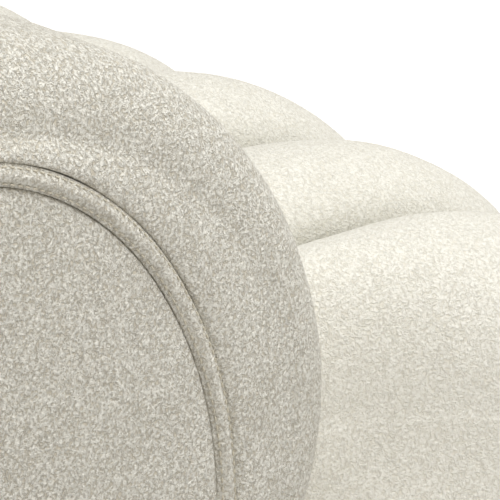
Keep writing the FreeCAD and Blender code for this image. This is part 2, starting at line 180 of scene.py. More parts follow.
# Where the seat has settled, and how the end channel's side is drawn in and filled
SETTLE_LEAST = 0.002
SETTLE = 0.016
SETTLE_END = 0.580
SETTLE_RUN = 0.180
SIDE_SETTLE = 0.003
SIDE_START = 0.600
SIDE_SWELL = 0.006
SIDE_SHARES = (0.012, 0.035, 0.08, 0.16, 0.30, 0.50, 0.75)
REAR_ROLL = 0.004
REAR_ROLL_WIDTH = 0.012
DRAW_REACH = 0.170
DRAW_RISE = 0.100
DRAW_SHARE = 0.62

# Back channels
BACK_SEAM = 0.026
BACK_ROLL = 0.070
BACK_REAR_ROLL = 0.046
BACK_FACE_STEPS = 24
BACK_ROLL_STEPS = 16
BACK_TOP_STEPS = 6
BACK_REAR_STEPS = 12
BACK_INNER_STEPS = (5, 1, 1, 1, 3, 2)

# Slow unevenness of the stuffing, and the distance at which points are merged
WANDER = 0.0016
WANDER_SIZE = 7.0
FINE_SHARE = 0.4
FINE_SIZE = 2.7
MERGE_DISTANCE = 0.00002

# Stitches of the welt
STITCH_STEP = 0.0056
STITCH_LENGTH = 0.0040
STITCH_THICKNESS = 0.0006
STITCH_HEIGHT = 0.0002
STITCH_PARTS = 4
THREAD_SIDES = 6
THREAD_RINGS = 5
SEAM_SHARES = (0.14, 0.86)
SEAM_LINE_STEP = 0.004

# Colours of the cloth, from 0 to 255, the painted shade in the creases between channels, and the size
# and relief of its curls
YARN = (249, 247, 237)
ARM_PIT = (204, 197, 180)
# The seat's pits are painted lighter than the arm's: a lit copy of the same bouclé, brighter where the
# seat faces the overhead light
SEAT_LIT_PIT = (232, 228, 214)
YARN_TINT = (214, 208, 190)
# Painted shade in the creases between channels: its colour, where it starts across a channel, how fast
# it grows and how strong it gets
CREASE_SHADE_COLOUR = (132, 128, 106)
CREASE_SHADE_START = 0.42
CREASE_SHADE_POWER = 2.8
CREASE_SHADE_STRENGTH = 0.85
TINT_SHARE = 0.10
TINT_SCALE = 9.0
CURL_SCALE = 350.0
CURL_SHARP = 10.0
CURL_WARP = 0.6
CURL_SHARE = 0.55
CURL_SHIFTS = (0.0, 3.7)
NUB_SCALE = 1.3
NUB_RANGE = (0.75, 0.1)
YARN_RANGE = (0.05, 0.75)
WELT_SCALE = 1.15
ARM_RELIEF = 0.0013
SEAT_RELIEF = 0.0007
WELT_RELIEF = 0.0010

# Floor, light and camera
FLOOR_HALF = 14.0
FLOOR_Z = -0.0005
FLOOR_GLOW = 0.58
FLOOR_COLOUR = (0.80, 0.80, 0.80, 1.0)
WHITE = (1.0, 1.0, 1.0, 1.0)
SKY_TINT = (1.0, 0.955, 0.90, 1.0)
AMBIENT = 0.38
FILL_PLACE = (-3.2, 0.9, 1.5)
FILL_AIM = (-0.9, 0.0, 0.4)
FILL_WIDTH = 2.0
FILL_WATTS = 8.0
FILL_TINT = (1.0, 0.94, 0.88)
LAMP_PLACE = (-1.5, -0.6, 2.8)
LAMP_AIM = (-0.7, 0.0, 0.4)
LAMP_WIDTH = 2.4
LAMP_WATTS = 66.0
LAMP_TINT = (0.98, 0.99, 1.0)
CAMERA_PLACE = (-2.919, 1.658, 1.447)
CAMERA_TURN = math.radians(41.6)
CAMERA_TILT = math.radians(20.7)
LENS = 349.9
SENSOR = 36.0
CLIP_NEAR = 0.05
CLIP_FAR = 60.0


# Outlines in a plane of constant x, as lists of (y, z)

def arc(centre_y, centre_z, reach, rise, start, end, steps):
    """Elliptic arc: 0 degrees points to the front, 90 up. The last point is left to the next run."""
    points = []
    for i in range(steps):
        a = math.radians(start + (end - start) * i / steps)
        points.append((centre_y - reach * math.cos(a), centre_z + rise * math.sin(a)))
    return points


def run(a, b, steps):
    """Straight run from a to b, whose last point is left to the next run."""
    return [(a[0] + (b[0] - a[0]) * i / steps, a[1] + (b[1] - a[1]) * i / steps) for i in range(steps)]


def runs(corners, counts):
    """Straight runs through corners, each with its own count of points."""
    points = []
    for a, b, steps in zip(corners, corners[1:], counts):
        points += run(a, b, steps)
    return points


def quarter(steps):
    """Angles from 0 to 90 degrees."""
    return [math.radians(90 * i / steps) for i in range(steps + 1)]


def arm_loop(inset):
    """The arm's bullnose outline from its toe round to its toe again."""
    reach = NOSE_REACH - NOSE_GIVE - inset
    centre = ARM_FRONT + NOSE_REACH
    low = math.degrees(math.asin((NOSE_Z - ARM_FOOT) / NOSE_FALL))
    top = TOP - inset
    rear = REAR - inset
    heel = ARM_HEEL - inset
    toe = centre - reach * math.cos(math.radians(low))
    loop = arc(centre, NOSE_Z, reach, NOSE_FALL, -low, 0, NOSE_LOW_STEPS)
    loop += arc(centre, NOSE_Z, reach, NOSE_RISE - inset, 0, 90, NOSE_HIGH_STEPS)
    loop += run((centre, top), (rear - heel, top), TOP_STEPS)
    loop += arc(rear - heel, top - heel, -heel, heel, 0, 90, HEEL_STEPS)[::-1]
    loop += run((rear, top - heel), (rear, ARM_FOOT), REAR_STEPS)
    loop += run((rear, ARM_FOOT), (toe, ARM_FOOT), FOOT_STEPS)
    return loop


def arm_panel_loop(inset):
    """The outside panel's outline, with as many points on each stretch as the arm's own outline."""
    top = TOP - PANEL_TOP - inset
    foot = ARM_FOOT + PANEL_FOOT + inset
    tip_z = TOP - PANEL_TOP - PANEL_RISE
    reach = PANEL_REACH - inset
    centre = ARM_FRONT + PANEL_FRONT + PANEL_REACH
    rear = REAR - PANEL_REAR - inset
    heel = PANEL_HEEL - inset
    loop = arc(centre, tip_z, reach, tip_z - foot, -90, 0, NOSE_LOW_STEPS)
    loop += arc(centre, tip_z, reach, top - tip_z, 0, 90, NOSE_HIGH_STEPS)
    loop += run((centre, top), (rear - heel, top), TOP_STEPS)
    loop += arc(rear - heel, top - heel, -heel, heel, 0, 90, HEEL_STEPS)[::-1]
    loop += run((rear, top - heel), (rear, foot + heel), REAR_STEPS - PANEL_HEEL_STEPS)
    loop += arc(rear - heel, foot + heel, -heel, -heel, 0, 90, PANEL_HEEL_STEPS)
    loop += run((rear - heel, foot), (centre, foot), FOOT_STEPS)
    return loop


def back_outline(x0, x1, z0, z1, heel):
    """Rounded rectangle in a plane of constant y, as a list of (x, z), from its top right corner."""
    corners = ((x1 - heel, z1 - heel, 90, UPRIGHT_STEPS), (x1 - heel, z0 + heel, 0, LENGTH_STEPS),
               (x0 + heel, z0 + heel, -90, UPRIGHT_STEPS), (x0 + heel, z1 - heel, -180, LENGTH_STEPS))
    turns = []
    for cx, cz, start, straight in corners:
        angles = [math.radians(start - 90 * i / CORNER_STEPS) for i in range(CORNER_STEPS + 1)]
        turn = [(cx + heel * math.cos(a), cz + heel * math.sin(a)) for a in angles]
        turns.append((turn, straight))
    loop = []
    for (turn, straight), (ahead, _) in zip(turns, turns[1:] + turns[:1]):
        loop += turn[:-1] + run(turn[-1], ahead[0], straight)
    return loop


def blended(a, b, share):
    """Loop a share of the way from one loop to another."""
    return [(p[0] + (q[0] - p[0]) * share, p[1] + (q[1] - p[1]) * share) for p, q in zip(a, b)]


def shrunk(loop, share):
    """Loop with each point moved a share of the way to the loop's middle."""
    cy = sum(p[0] for p in loop) / len(loop)
    cz = sum(p[1] for p in loop) / len(loop)
    return [(y + (cy - y) * share, z + (cz - z) * share) for y, z in loop]


def eased(share):
    """Gentle rise from 0 to 1 as share goes from 0 to 1, and level outside that."""
    share = min(max(share, 0.0), 1.0)
    return share * share * (3 - 2 * share)


# Meshes

def linked(name, mesh):
    """Piece of a mesh, put in the scene."""
    piece = bpy.data.objects.new(name, mesh)
    bpy.context.collection.objects.link(piece)
    return piece


def smooth_piece(name, bm):
    """Smooth piece of the faces built so far."""
    mesh = bpy.data.meshes.new(name)
    bm.to_mesh(mesh)
    bm.free()
    mesh.shade_smooth()
    return linked(name, mesh)


def wandering(p):
    """Slow unevenness of stuffed cloth at a place on the sofa."""
    fine = FINE_SHARE * WANDER * noise.noise(p * WANDER_SIZE * FINE_SIZE)
    return WANDER * noise.noise(p * WANDER_SIZE) + fine


def skin(name, rings, along=None, crease_shades=None):
    """Closed skin through rings of equal length, unevenly stuffed outwards or along a direction.

    The last argument gives each ring a weight of painted shade, from 0 to 1, for the creases between
    channels; it is kept on the ring's points and darkens the cloth's colour.
    """
    bm = bmesh.new()
    crease_shade_layer = bm.verts.layers.float.new("crease_shade")
    rows = [[bm.verts.new(p) for p in ring] for ring in rings]
    for row, crease_shade in zip(rows, crease_shades or ()):
        for v in row:
            v[crease_shade_layer] = crease_shade
    count = len(rows[0])
    for a, b in zip(rows, rows[1:]):
        for i in range(count):
            j = (i + 1) % count
            bm.faces.new((a[i], a[j], b[j], b[i]))
    bm.faces.new(rows[0][::-1])
    bm.faces.new(rows[-1])
    bmesh.ops.remove_doubles(bm, verts=bm.verts, dist=MERGE_DISTANCE)
    bmesh.ops.recalc_face_normals(bm, faces=bm.faces)
    bm.normal_update()
    moves = [(v, (along or v.normal) * wandering(v.co)) for v in bm.verts]
    for v, move in moves:
        v.co += move
    return smooth_piece(name, bm)


def join(name, pieces):
    """One piece of several."""
    bm = bmesh.new()
    for piece in pieces:
        bm.from_mesh(piece.data)
        bpy.data.objects.remove(piece)
    return smooth_piece(name, bm)


# Arms

def side_rings(side, sections):
    """Rings of an arm piece: sections are (distance in from the outer face, loop)."""
    return [[Vector((side * (ARM_OUTER - depth), y, z)) for y, z in loop] for depth, loop in sections]


def arm_cover(side, name):
    """Slab with rolled edges, a padded boxing and the bed of the outside panel."""
    welt = arm_panel_loop(-SEAM_GAP)
    edge = arm_loop(ARM_ROLL)
    thick = ARM_OUTER - ARM_INNER
    roll = ARM_ROLL - BOXING_FALL
    sections = [(RECESS, welt), (COVER_SEAM_WALL, welt)]
    for share in BOXING_SHARES:
        tuck = SEAM_TUCK * math.exp(-share / BOXING_TUCK_RUN)
        sections.append((tuck + BOXING_FALL * share ** 2, blended(welt, edge, share)))
    for a in quarter(ROLL_STEPS):
        depth = BOXING_FALL + roll * (1 - math.cos(a))
        sections.append((depth, arm_loop(ARM_ROLL * (1 - math.sin(a)))))
    for a in quarter(ROLL_STEPS):
        depth = thick - ARM_ROLL + ARM_ROLL * math.sin(a)
        sections.append((depth, arm_loop(ARM_ROLL * (1 - math.cos(a)))))
    for i in range(1, INNER_RINGS + 1):
        sections.append((thick, shrunk(edge, i / (INNER_RINGS + INNER_TIP))))
    return skin(name, side_rings(side, sections))


def panel_puff(share):
    """Fullness of a panel at a share of the way from its seam to its full height."""
    return PANEL_PUFF * (1 - (1 - min(share, 1)) ** PUFF_POWER)


def arm_panel(side, name):
    """Outside panel: puffed, with its edge turned down into the welt's seam."""
    edge = arm_panel_loop(WELT_WIDTH + SEAM_GAP)
    sections = [(RECESS, edge), (PANEL_SEAM_WALL, edge)]
    for share in PANEL_SHARES:
        tuck = SEAM_TUCK * math.exp(-share / PANEL_TUCK_RUN)
        sections.append((tuck - panel_puff(share / PANEL_PUFF_RUN), shrunk(edge, share)))
    return skin(name, side_rings(side, sections), Vector((side, 0.0, 0.0)))


def welt_path(loop, step):
    """Evenly spaced points along a closed loop."""
    points = loop + loop[:1]
    lengths = [0.0]
    for a, b in zip(points, points[1:]):
        lengths.append(lengths[-1] + math.dist(a, b))
    count = round(lengths[-1] / step)
    even = []
    k = 0
    for i in range(count):
        want = lengths[-1] * i / count
        while lengths[k + 1] < want:
            k += 1
        share = (want - lengths[k]) / max(lengths[k + 1] - lengths[k], 1e-9)
        a, b = points[k], points[k + 1]
        even.append((a[0] + (b[0] - a[0]) * share, a[1] + (b[1] - a[1]) * share))
    return even


def inward(path, i):
    """Direction from a point of a closed path towards its inside."""
    ahead = path[(i + 1) % len(path)]
    behind = path[i - 1]
    along = (ahead[0] - behind[0], ahead[1] - behind[1])
    size = math.hypot(*along)
    return along[1] / size, -along[0] / size


def welt_mesh(name, outer, place):
    """Flat welt inside a loop, pulled down at each stitch of its twin seams."""
    path = welt_path(outer, STITCH_STEP / STITCH_PARTS)
    bm = bmesh.new()
    rows = []
    for i, p in enumerate(path):
        ny, nz = inward(path, i)
        pull = 0.5 - 0.5 * math.cos(2 * math.pi * i / STITCH_PARTS)
        row = []
        for share, height, dip in WELT_SECTION:
            across = WELT_WIDTH * share
            row.append(bm.verts.new(place(p[0] + ny * across, p[1] + nz * across, height - dip * pull)))
        rows.append(row)
    for a, b in zip(rows, rows[1:] + rows[:1]):
        for i in range(len(WELT_SECTION) - 1):
            bm.faces.new((a[i], a[i + 1], b[i + 1], b[i]))
        bm.faces.new((a[-1], a[0], b[0], b[-1]))
    bmesh.ops.recalc_face_normals(bm, faces=bm.faces)
    return smooth_piece(name, bm)


def arm_place(side):
    """Where a point of the arm's side lies at a height over its face."""
    def place(y, z, height):
        at = Vector((side * ARM_OUTER, y, z))
        return at + Vector((side * (height + wandering(at)), 0.0, 0.0))
    return place


def back_place(x, z, height):
    """Where a point of the back's outside lies at a height over its face."""
    at = Vector((x, REAR, z))
    return at + Vector((0.0, height + wandering(at), 0.0))


# Seat

def front_at(x):
    """Front line in plan: straight, then bowed back towards the ends."""
    past = max(abs(x) - BOW_START, 0.0)
    return SEAT_FRONT + BOW_RADIUS - math.sqrt(BOW_RADIUS ** 2 - past ** 2)


def seam_inset(share, depth):
    """Inset of a channel across its width, from its crest at 0 to its seams at 1 and -1."""
    return depth * share ** 2 + CREASE_DEPTH * abs(share) ** CREASE_POWER


def crease_shade_at(share):
    """Weight of painted shade in the crease between two channels, across a channel from -1 to 1: none
    on the crest, most at the seams.
    """
    return max((abs(share) - CREASE_SHADE_START) / (1 - CREASE_SHADE_START), 0.0) ** CREASE_SHADE_POWER


def seat_front_runs(x, inset):
    """Hem, front and waterfall of a seat outline, with the places of its shoulder and its hem."""
    nose = front_at(x) + inset
    top = SEAT_CREST - inset
    reach = FALL_REACH - inset
    drop = FALL_DROP - inset
    hem = HEM_RADIUS
    loop = arc(nose + hem, HEM_Z + hem, hem, hem, -90, 0, HEM_STEPS)
    loop += run((nose, HEM_Z + hem), (nose, top - drop), FRONT_STEPS)
    loop += arc(nose + reach, top - drop, reach, drop, 0, 90, FALL_STEPS)
    return loop, (nose + reach, top), nose + hem


def seat_loop(x, inset):
    """Side outline of a seat channel, with room for the front rail and the foam."""
    loop, shoulder, hem_y = seat_front_runs(x, inset)
    corners = (shoulder, (SEAT_REAR, shoulder[1]), (SEAT_REAR, PAD_FOOT), (NOSE_INNER, PAD_FOOT),
               (NOSE_INNER, HEM_Z), (hem_y, HEM_Z))
    return loop + runs(corners, SEAT_STEPS)


def settled(x):
    """How far the seat has sunk at a place along the sofa, most where people sit."""
    middle = SETTLE * eased((SETTLE_END - abs(x)) / SETTLE_RUN)
    side = SIDE_SETTLE * eased((abs(x) - SIDE_START) / SETTLE_RUN)
    return SETTLE_LEAST + middle + side


def sunk(loop, x):
    """A seat outline pressed down above the underside of its padding."""
    share = settled(x) / (SEAT_CREST - PAD_FOOT)
    return [(y, z - share * max(z - PAD_FOOT, 0.0)) for y, z in loop]


def channel_skin(index, outline):
    """Channel between two seams, counted from the sofa's middle, with a crowned outline."""
    rings = []
    crease_shades = []
    for i in range(-CROWN_STEPS, CROWN_STEPS + 1):
        share = math.sin(math.radians(90 * i / CROWN_STEPS))
        x = index * PITCH + share * PITCH / 2
        rings.append([Vector((x, y, z)) for y, z in outline(x, share)])
        # Painted shade for this ring, most near the seams
        crease_shades.append(crease_shade_at(share))
    return skin("channel", rings, crease_shades=crease_shades)


def channel_row(name, outline):
    """All the channels between the two ends, side by side."""
    half = INNER_CHANNELS // 2
    return join(name, [channel_skin(i, outline) for i in range(-half, half + 1)])


def seat_outline(x, share):
    """Side outline of a seat channel at a place across it, settled."""
    return sunk(seat_loop(x, seam_inset(share, SEAM_DEPTH)), x)


def nose_y(z):
    """Front of the arm's bullnose at a height."""
    rise = NOSE_RISE if z > NOSE_Z else NOSE_FALL
    share = min(abs(z - NOSE_Z) / rise, 1.0)
    return ARM_FRONT + NOSE_REACH - (NOSE_REACH - NOSE_GIVE) * math.sqrt(1 - share ** 2)


def end_inset(across):
    """Inset of the end channel, across from its outer side: a deep roll, then the crown."""
    if across < END_ROLL:
        share = (END_ROLL - across) / END_ROLL
        return END_DEPTH * (1 - math.sqrt(max(1 - share ** 2, 0.0)))
    return seam_inset((across - END_ROLL) / (PITCH - END_ROLL), SEAM_DEPTH)


def end_loop(x, inset, shy):
    """Outline of the end channel; shy is how far its rear edge stays off the arm's nose."""
    loop, shoulder, hem_y = seat_front_runs(x, inset)
    top = shoulder[1]
    low = ARM_FOOT + END_TOE
    tail = TAIL - shy
    loop += run(shoulder, (nose_y(top) - shy, top), NOTCH_STEPS)
    for i in range(NOTCH_STEPS):
        z = top + (low - top) * i / NOTCH_STEPS
        loop.append((min(nose_y(z) - CLOTH_GAP - shy, tail), z))
    return loop + runs(((tail, low), (tail, HEM_Z), (hem_y, HEM_Z)), END_STEPS)


def drawn_in(p):
    """A point of the end channel, with its side drawn in towards the crease at the arm's nose."""
    near = 1 - eased((nose_y(p.z) - p.y) / DRAW_REACH)
    over = eased((p.z - ARM_FOOT) / DRAW_RISE)
    outside = max(abs(p.x) - (END_OUTER - END_ROLL), 0.0)
    return Vector((p.x - math.copysign(outside * DRAW_SHARE * near * over, p.x), p.y, p.z))


def seat_end(side, name):
    """End channel that turns in front of the arm, with a rolled and softly filled side."""
    spots = [END_ROLL * (1 - math.cos(a)) for a in quarter(END_ROLL_STEPS)]
    spots += [END_ROLL + (PITCH - END_ROLL) * math.sin(a) for a in quarter(END_CROWN_STEPS)[1:]]
    rings = []
    crease_shades = []
    for across in spots:
        x = END_OUTER - across
        shy = REAR_ROLL * (1 - math.sqrt(1 - max(1 - across / REAR_ROLL_WIDTH, 0.0) ** 2))
        loop = sunk(end_loop(x, end_inset(across), shy), x)
        rings.append([Vector((side * x, y, z)) for y, z in loop])
        # Painted shade: none on the rolled side, growing towards the seam with the next channel
        crease_shades.append(crease_shade_at(max(across - END_ROLL, 0.0) / (PITCH - END_ROLL)))
    rim = rings[0]
    middle = sum(rim, Vector()) / len(rim)
    for share in SIDE_SHARES:
        swell = Vector((side * SIDE_SWELL * math.sqrt(share), 0.0, 0.0))
        rings.insert(0, [p.lerp(middle, share) + swell for p in rim])
        crease_shades.insert(0, 0.0)
    return skin(name, [[drawn_in(p) for p in ring] for ring in rings], crease_shades=crease_shades)


# Back

def back_channel_outline(x, share):
    """Side outline of a back channel: padding in front of and over the back frame."""
    inset = seam_inset(share, BACK_SEAM)
    face = BACK_FACE + inset
    top = TOP - inset
    plate = REAR - PLATE_DEPTH
    lip = BACK_LIP + CLOTH_GAP
    roll = BACK_ROLL
    rear_roll = BACK_REAR_ROLL
    loop = run((face, BACK_FOOT), (face, top - roll), BACK_FACE_STEPS)
    loop += arc(face + roll, top - roll, roll, roll, 0, 90, BACK_ROLL_STEPS)
    loop += run((face + roll, top), (REAR - rear_roll, top), BACK_TOP_STEPS)
    loop += arc(REAR - rear_roll, top - rear_roll, -rear_roll, rear_roll, 90, 0, BACK_REAR_STEPS)
    corners = ((REAR, top - rear_roll), (REAR, lip), (plate, lip), (plate, POST_TOP),
               (POST_FACE, POST_TOP), (POST_FACE, BACK_FOOT), (face, BACK_FOOT))
    return loop + runs(corners, BACK_INNER_STEPS)


def back_rings(sections):
    """Rings of an outside back piece: sections are (distance in from the outer face, loop)."""
    return [[Vector((x, REAR - depth, z)) for x, z in loop] for depth, loop in sections]


def back_panel_bounds(inset):
    """Left, right, bottom and top of the outside back panel, inset from its welt's outer edge."""
    half = INNER_HALF - PANEL_REAR / 2 - inset
    top = TOP - PANEL_TOP - BACK_REAR_ROLL / 2 - inset
    return -half, half, ARM_FOOT + PANEL_FOOT + inset, top


def back_cover(name):
    """Cover round the outside back panel, wrapped behind the arms at its sides."""
    welt = back_outline(*back_panel_bounds(-SEAM_GAP), PANEL_HEEL)
    half = INNER_HALF + PLATE_WRAP
    edge = back_outline(-half, half, ARM_FOOT, BACK_LIP, PLATE_CORNER)
    rim = back_outline(-half + PLATE_RIM_SIDE, half - PLATE_RIM_SIDE, ARM_FOOT + PLATE_RIM,
                       BACK_LIP - PLATE_RIM, PLATE_CORNER)
    sections = [(RECESS, welt), (COVER_SEAM_WALL, welt)]
    for share in PLATE_SHARES:
        puff = PLATE_PUFF * math.sin(math.pi * share) ** PLATE_PUFF_POWER
        tuck = SEAM_TUCK * math.exp(-share / PLATE_TUCK_RUN)
        sections.append((tuck - puff, blended(welt, rim, share)))
    sections += [(PLATE_RIM, edge), (PLATE_DEPTH, edge)]
    return skin(name, back_rings(sections))


def back_panel(name):
    """Outside back panel, puffed like those of the arms."""
    x0, x1, z0, z1 = back_panel_bounds(WELT_WIDTH + SEAM_GAP)
    heel = PANEL_HEEL - WELT_WIDTH
    edge = back_outline(x0, x1, z0, z1, heel)
    sections = [(RECESS, edge), (PANEL_SEAM_WALL, edge)]
    for inset in BACK_INSETS:
        loop = back_outline(x0 + inset, x1 - inset, z0 + inset, z1 - inset,
                            max(heel - inset, PANEL_HEEL_LEAST))
        tuck = SEAM_TUCK * math.exp(-inset / BACK_TUCK_RUN)
        sections.append((tuck - panel_puff(inset / BACK_PUFF_RUN), loop))
    return skin(name, back_rings(sections), Vector((0.0, 1.0, 0.0)))


def base_border(name):
    """Padded band round the sides and the rear, with a slightly full face."""
    corner = ARM_ROLL
    start = TAIL + CLOTH_GAP
    length = REAR - corner - start
    half = ARM_OUTER - corner
    side = []
    for i in range(BORDER_SIDE_STEPS):
        side.append(((-ARM_OUTER, start + length * i / BORDER_SIDE_STEPS), (-1.0, 0.0)))
    for i in range(BORDER_CORNER_STEPS + 1):
        a = math.radians(180 - 90 * i / BORDER_CORNER_STEPS)
        out = (math.cos(a), math.sin(a))
        side.append(((-half + corner * out[0], REAR - corner + corner * out[1]), out))
    rear = []
    for i in range(1, BORDER_REAR_STEPS):
        rear.append(((-half + 2 * half * i / BORDER_REAR_STEPS, REAR), (0.0, 1.0)))
    other = [((-x, y), (-nx, ny)) for (x, y), (nx, ny) in reversed(side)]
    rim = BORDER_EDGE[-1][1]
    face = BORDER_TOP - HEM_Z - 2 * rim
    section = [(-deep, HEM_Z + rise) for deep, rise in BORDER_EDGE]
    for i in range(BORDER_FACE_STEPS + 1):
        share = i / BORDER_FACE_STEPS
        section.append((BORDER_PUFF * math.sin(math.pi * share), HEM_Z + rim + face * share))
    section += [(-deep, BORDER_TOP - rise) for deep, rise in reversed(BORDER_EDGE)]
    rings = []
    for (x, y), (nx, ny) in side + rear + other:
        rings.append([Vector((x + nx * out, y + ny * out, z)) for out, z in section])
    return skin(name, rings)


# Stitches

def socket_of(tree, name):
    return next(item.identifier for item in tree.interface.items_tree if item.name == name)


def stitch_tree(thread):
    """Short threads laid end to end along a path, with a gap between them."""
    tree = bpy.data.node_groups.new("thread_stitches", "GeometryNodeTree")
    face = tree.interface
    face.new_socket("Geometry", in_out="INPUT", socket_type="NodeSocketGeometry")
    sizes = (("Spacing", STITCH_STEP), ("Length", STITCH_LENGTH), ("Thickness", STITCH_THICKNESS))
    for label, value in sizes:
        socket = face.new_socket(label, in_out="INPUT", socket_type="NodeSocketFloat")
        socket.default_value = value
    face.new_socket("Geometry", in_out="OUTPUT", socket_type="NodeSocketGeometry")
    node = tree.nodes.new
    link = tree.links.new
    given = node("NodeGroupInput")
    result = node("NodeGroupOutput")
    path = node("GeometryNodeMeshToCurve")
    spots = node("GeometryNodeCurveToPoints")
    spots.mode = "LENGTH"
    thread_form = node("GeometryNodeMeshUVSphere")
    thread_form.inputs["Segments"].default_value = THREAD_SIDES
    thread_form.inputs["Rings"].default_value = THREAD_RINGS
    thread_form.inputs["Radius"].default_value = 1.0
    turn = node("FunctionNodeAlignEulerToVector")
    turn.axis = "Z"
    size = node("ShaderNodeCombineXYZ")
    half = node("ShaderNodeMath")
    half.operation = "MULTIPLY"
    half.inputs[1].default_value = 0.5
    place = node("GeometryNodeInstanceOnPoints")
    real = node("GeometryNodeRealizeInstances")
    smooth_shade = node("GeometryNodeSetShadeSmooth")
    finish = node("GeometryNodeSetMaterial")
    finish.inputs["Material"].default_value = thread
    link(given.outputs["Geometry"], path.inputs["Mesh"])
    link(path.outputs["Curve"], spots.inputs["Curve"])
    link(given.outputs["Spacing"], spots.inputs["Length"])
    link(spots.outputs["Tangent"], turn.inputs["Vector"])
    link(given.outputs["Length"], half.inputs[0])
    link(given.outputs["Thickness"], size.inputs["X"])
    link(given.outputs["Thickness"], size.inputs["Y"])
    link(half.outputs["Value"], size.inputs["Z"])
    link(spots.outputs["Points"], place.inputs["Points"])
    link(thread_form.outputs["Mesh"], place.inputs["Instance"])
    link(turn.outputs["Rotation"], place.inputs["Rotation"])
    link(size.outputs["Vector"], place.inputs["Scale"])
    link(place.outputs["Instances"], real.inputs["Geometry"])
    link(real.outputs["Geometry"], smooth_shade.inputs["Geometry"])
    link(smooth_shade.outputs["Geometry"], finish.inputs["Geometry"])
    link(finish.outputs["Geometry"], result.inputs["Geometry"])
    return tree


def seam_lines(outer, place):
    """The twin seams of a welt, as points in space."""
    path = welt_path(outer, SEAM_LINE_STEP)
    lines = []
    for share in SEAM_SHARES:
        across = WELT_WIDTH * share
        line = []
        for i, p in enumerate(path):
            ny, nz = inward(path, i)
            line.append(place(p[0] + ny * across, p[1] + nz * across, STITCH_HEIGHT))
        lines.append(line)
    return lines


def stitched(name, outer, place, tree):
    """Plain mesh of the stitches along the twin seams of a welt."""
    bm = bmesh.new()
    for points in seam_lines(outer, place):
        verts = [bm.verts.new(p) for p in points]
        for a, b in zip(verts, verts[1:] + verts[:1]):
            bm.edges.new((a, b))
    guide_mesh = bpy.data.meshes.new(name + "_guide")
    bm.to_mesh(guide_mesh)
    bm.free()
    guide = linked(name + "_guide", guide_mesh)
    modifier = guide.modifiers.new("stitches", "NODES")
    modifier.node_group = tree
    modifier[socket_of(tree, "Spacing")] = STITCH_STEP
    evaluated = guide.evaluated_get(bpy.context.evaluated_depsgraph_get())
    mesh = bpy.data.meshes.new_from_object(evaluated)
    mesh.name = name
    bpy.data.objects.remove(guide)
    return linked(name, mesh)


# Materials

def srgb(red, green, blue):
    """Linear colour of a colour given in 0 to 255."""
    shares = [c / 255 for c in (red, green, blue)]
    return tuple(c / 12.92 if c <= 0.04045 else ((c + 0.055) / 1.055) ** 2.4 for c in shares) + (1.0,)


def pattern_group(name, inputs):
    """Group with named inputs that puts out a colour and a height."""
    tree = bpy.data.node_groups.new(name, "ShaderNodeTree")
    for label, kind, value in inputs:
        socket = tree.interface.new_socket(label, in_out="INPUT", socket_type="NodeSocket" + kind)
        socket.default_value = value
    for label, kind in (("Color", "Color"), ("Height", "Float")):
        tree.interface.new_socket(label, in_out="OUTPUT", socket_type="NodeSocket" + kind)
    given = tree.nodes.new("NodeGroupInput")
    result = tree.nodes.new("NodeGroupOutput")
    place = tree.nodes.new("ShaderNodeTexCoord").outputs["Object"]
    return tree, given.outputs, result.inputs, place


def set_or_linked(tree, sockets, values):
    """Give each socket its plain value, or the node output that feeds it."""
    for socket, value in zip(sockets, values):
        if isinstance(value, (int, float, tuple)):
            socket.default_value = value
        else:
            tree.links.new(value, socket)


def maths(tree, operation, a, b=0.0, clamp=False):
    node = tree.nodes.new("ShaderNodeMath")
    node.operation = operation
    node.use_clamp = clamp
    set_or_linked(tree, node.inputs, (a, b))
    return node.outputs["Value"]


def ramp(tree, value, low, high):
    """Smooth rise from 0 to 1 as value goes from low to high."""
    node = tree.nodes.new("ShaderNodeMapRange")
    node.interpolation_type = "SMOOTHSTEP"
    sockets = [node.inputs[label] for label in ("Value", "From Min", "From Max")]
    set_or_linked(tree, sockets, (value, low, high))
    return node.outputs["Result"]


def mixed(tree, share, a, b):
    """Colour a share of the way from a to b."""
    node = tree.nodes.new("ShaderNodeMix")
    node.data_type = "RGBA"
    set_or_linked(tree, (node.inputs[0], node.inputs[6], node.inputs[7]), (share, a, b))
    return node.outputs[2]


def noise_of(tree, place, scale, detail=2.0, warp=0.0):
    node = tree.nodes.new("ShaderNodeTexNoise")
    sockets = [node.inputs[label] for label in ("Vector", "Scale", "Detail", "Distortion")]
    set_or_linked(tree, sockets, (place, scale, detail, warp))
    return node.outputs["Fac"]


